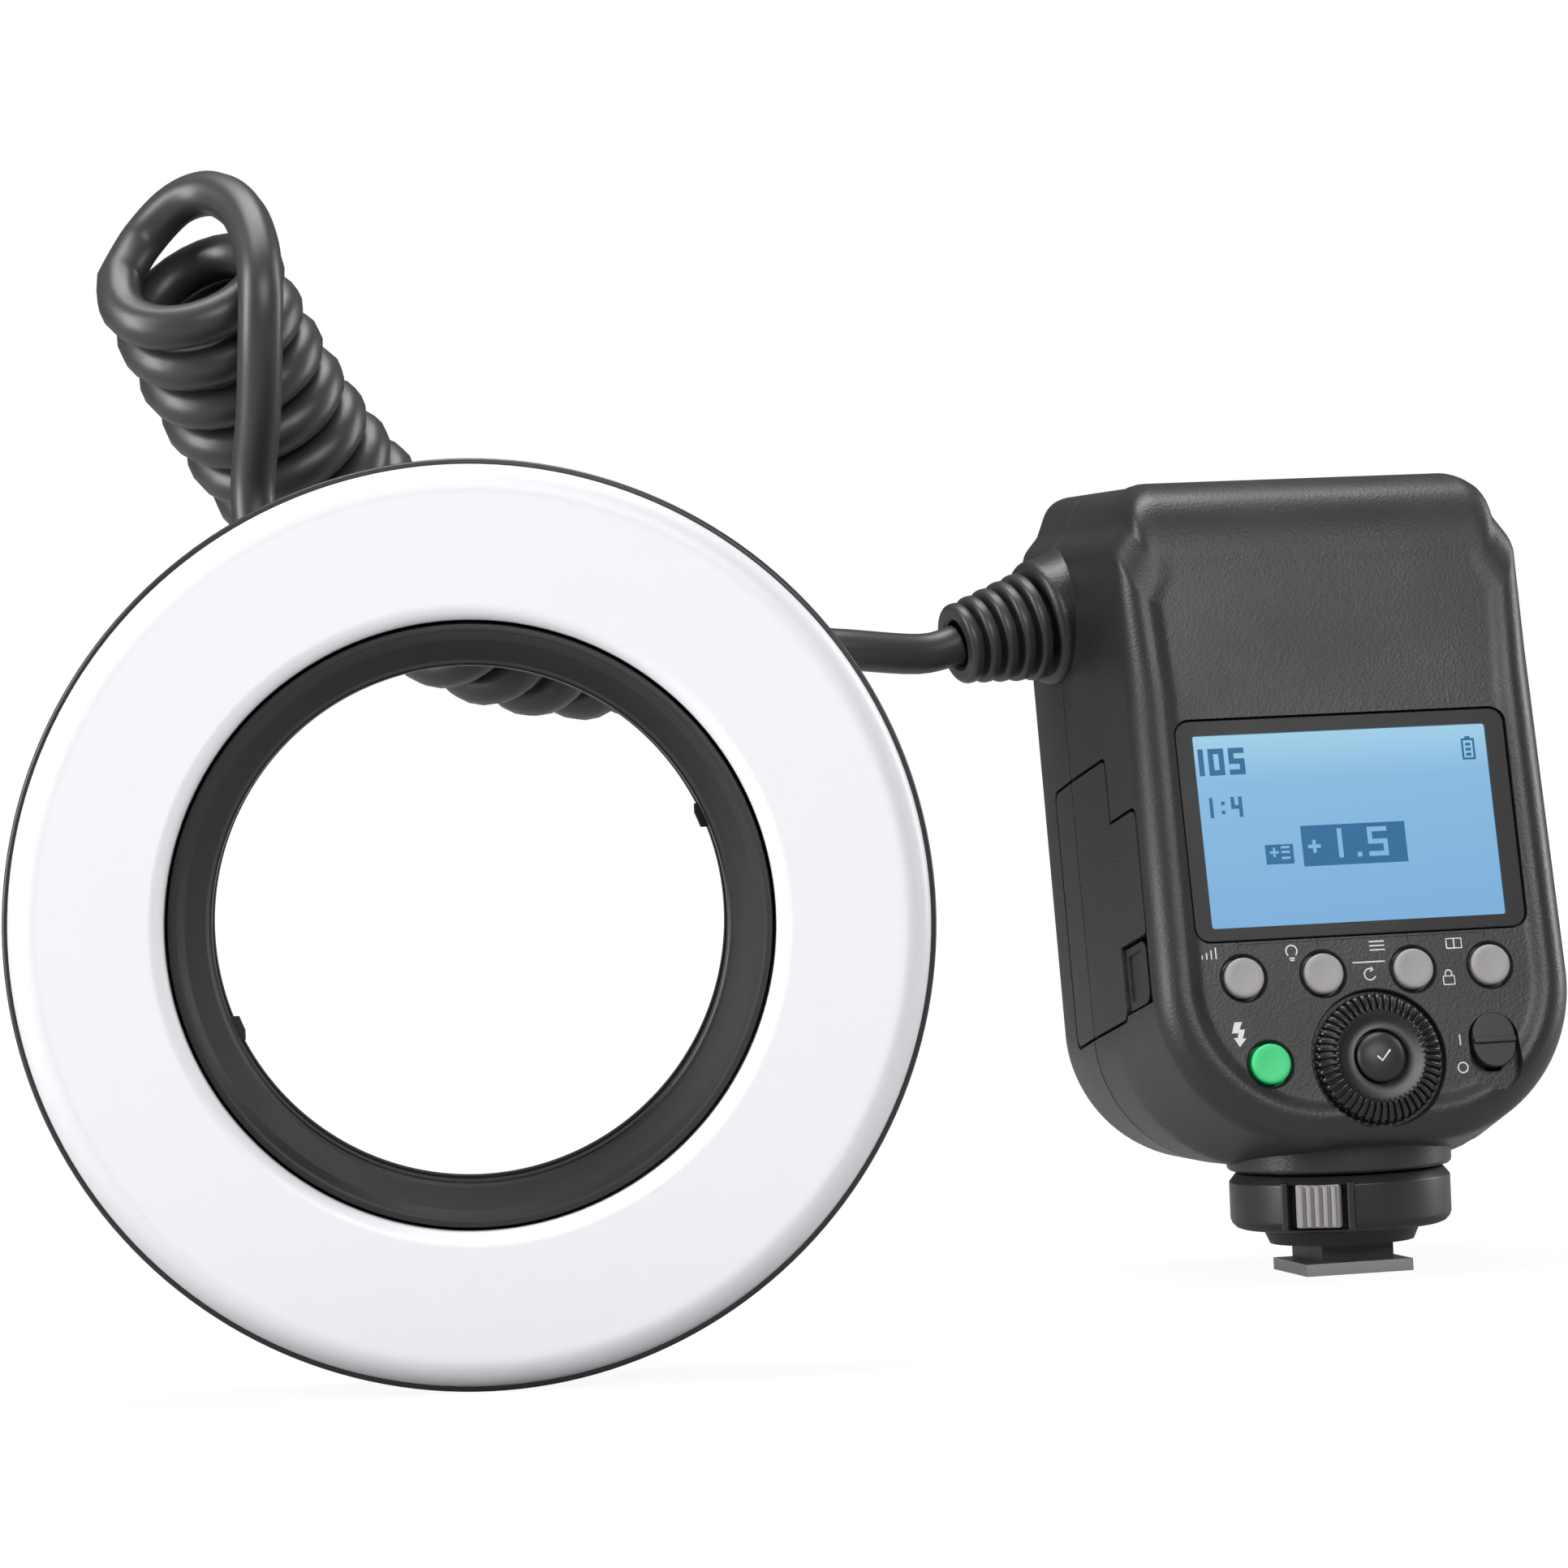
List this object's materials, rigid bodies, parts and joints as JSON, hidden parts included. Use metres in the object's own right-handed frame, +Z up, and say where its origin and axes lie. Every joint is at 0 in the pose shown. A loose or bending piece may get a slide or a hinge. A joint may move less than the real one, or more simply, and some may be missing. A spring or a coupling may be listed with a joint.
{
  "type": "macro ring flash",
  "caption": "Macro ring flash: a round white-fronted flash head on a curly cord to a shoe-mounted control unit with display, keys, dial and battery.",
  "frame": {"origin": "centre of the shoe foot's sole, where the unit slides into a camera's shoe", "axes": "+Z up, square to the sole; -Y is the side of the display, towards the viewer; +X to the right as seen from the display side"},
  "size_m": [0.268, 0.1739, 0.1828],
  "materials": {
    "black_plastic": "fine matt grain",
    "dark_plastic": "satin",
    "diffuser": "milky satin",
    "key_grey": "satin",
    "key_green": "translucent satin",
    "display_glass": "clear gloss",
    "display_blue": "lit from behind",
    "light_guide": "frosted",
    "cord_rubber": "satin",
    "steel": "brushed",
    "reflector_metal": "bright",
    "tube_glass": "clear",
    "ceramic": "unglazed",
    "board_green": "solder mask",
    "led_yellow": "resin",
    "can_black": "sleeved",
    "winding": "enamelled",
    "contact_gold": "plated",
    "cell_blue": "sleeved"
  },
  "bodies": {
    "base": {"ring_rear_housing": "black_plastic", "ring_front_bezel": "black_plastic", "ring_diffuser": "diffuser", "baffle_ring": "black_plastic", "lens_socket": "dark_plastic", "ring_reflector": "reflector_metal", "flash_tube_a": "tube_glass", "flash_tube_b": "tube_glass", "tube_end_caps": "ceramic", "led_boards": "board_green", "modelling_leds": "led_yellow", "ring_board": "board_green", "latch_springs": "steel", "ring_screws": "steel", "ring_cord_relief": "cord_rubber", "cord_ring_run": "cord_rubber", "cord_coil": "cord_rubber", "cord_unit_run": "cord_rubber", "unit_cord_relief": "cord_rubber", "front_shell": "black_plastic", "rear_shell": "black_plastic", "display_window": "display_glass", "display_panel": "display_blue", "display_backlight": "light_guide", "display_carrier": "dark_plastic", "main_board": "board_green", "key_switches": "steel", "flash_capacitor": "can_black", "transformer": "winding", "dial_encoder": "dark_plastic", "slide_switch": "steel", "battery_bay": "dark_plastic", "bay_contacts": "contact_gold", "port_carrier": "dark_plastic", "shell_screws": "steel", "foot_base": "black_plastic", "collar_retainer": "dark_plastic", "shoe_pedestal": "dark_plastic", "shoe_foot": "steel"},
    "dial": {"control_dial": "dark_plastic", "dial_clip": "steel"},
    "battery": {"battery_case": "black_plastic", "battery_lid": "dark_plastic", "battery_cells": "cell_blue", "battery_terminals": "contact_gold"},
    "battery_catch": {"battery_latch": "dark_plastic"},
    "key_one": {"key_1": "key_grey"},
    "key_two": {"key_2": "key_grey"},
    "key_three": {"key_3": "key_grey"},
    "key_four": {"key_4": "key_grey"},
    "flash_test": {"test_key": "key_green"},
    "centre_key": {"set_key": "dark_plastic"},
    "switch": {"power_switch": "dark_plastic"},
    "port_flap": {"port_cover": "black_plastic"},
    "collar": {"lock_collar": "black_plastic"},
    "release": {"lock_release": "key_grey"},
    "pin": {"lock_pin": "steel"},
    "contacts": {"contact_pins": "contact_gold"},
    "latch_left": {"ring_latch_left": "dark_plastic"},
    "latch_right": {"ring_latch_right": "dark_plastic"}
  },
  "joints": [
    {"name": "key_1_press", "type": "slide", "parent": "base", "child": "key_one", "axis": [0, 0.9781, -0.2079], "range_m": [0, 0.0006], "stiffness_N_per_m": 500, "springref_m": -0.0005},
    {"name": "key_2_press", "type": "slide", "parent": "base", "child": "key_two", "axis": [0, 0.9781, -0.2079], "range_m": [0, 0.0006], "stiffness_N_per_m": 500, "springref_m": -0.0005},
    {"name": "key_3_press", "type": "slide", "parent": "base", "child": "key_three", "axis": [0, 0.9781, -0.2079], "range_m": [0, 0.0006], "stiffness_N_per_m": 500, "springref_m": -0.0005},
    {"name": "key_4_press", "type": "slide", "parent": "base", "child": "key_four", "axis": [0, 0.9781, -0.2079], "range_m": [0, 0.0006], "stiffness_N_per_m": 500, "springref_m": -0.0005},
    {"name": "test_key_press", "type": "slide", "parent": "base", "child": "flash_test", "axis": [0, 0.9781, -0.2079], "range_m": [0, 0.0006], "stiffness_N_per_m": 500, "springref_m": -0.0005},
    {"name": "set_key_press", "type": "slide", "parent": "base", "child": "centre_key", "axis": [0, 0.9781, -0.2079], "range_m": [0, 0.0006], "stiffness_N_per_m": 500, "springref_m": -0.0005},
    {"name": "dial_turn", "type": "hinge", "parent": "base", "child": "dial", "pos_m": [0.0004, -0.02217, 0.03626], "axis": [0, -0.9781, 0.2079], "continuous": true},
    {"name": "switch_slide", "type": "slide", "parent": "base", "child": "switch", "axis": [0, -0.2079, -0.9781], "range_m": [0, 0.0038]},
    {"name": "battery_slide", "type": "slide", "parent": "base", "child": "battery", "axis": [-1, 0, 0], "range_m": [0, 0.06]},
    {"name": "battery_latch_slide", "type": "slide", "parent": "battery", "child": "battery_catch", "axis": [0, -0.9781, 0.2079], "range_m": [0, 0.002], "stiffness_N_per_m": 300, "springref_m": -0.001},
    {"name": "port_cover_swing", "type": "hinge", "parent": "base", "child": "port_flap", "pos_m": [0.0331, -0.00009, 0.02952], "axis": [0, -0.9781, 0.2079], "range_deg": [0, 100]},
    {"name": "lock_collar_turn", "type": "hinge", "parent": "base", "child": "collar", "pos_m": [0, 0, 0.012], "axis": [0, 0, 1], "range_deg": [0, 60]},
    {"name": "lock_release_press", "type": "slide", "parent": "collar", "child": "release", "axis": [0.5, 0.866, 0], "range_m": [0, 0.0012], "stiffness_N_per_m": 600, "springref_m": -0.0005},
    {"name": "lock_pin_drop", "type": "slide", "parent": "base", "child": "pin", "axis": [0, 0, -1], "range_m": [0, 0.0022]},
    {"name": "contact_pins_slide", "type": "slide", "parent": "base", "child": "contacts", "axis": [0, 0, -1], "range_m": [0, 0.0006]},
    {"name": "latch_left_press", "type": "hinge", "parent": "base", "child": "latch_left", "pos_m": [-0.21688, -0.07214, 0.068], "axis": [0.1822, 0.9833, 0], "range_deg": [0, 5], "stiffness_Nm_per_rad": 0.7, "springref_deg": -1.72},
    {"name": "latch_right_press", "type": "hinge", "parent": "base", "child": "latch_right", "pos_m": [-0.10479, -0.09291, 0.068], "axis": [0.1822, 0.9833, 0], "range_deg": [0, 5], "stiffness_Nm_per_rad": 0.7, "springref_deg": -1.72}
  ],
  "couplings": [
    {"joint": "lock_pin_drop", "follows": "lock_collar_turn", "m_per_rad": 0.0021}
  ]
}
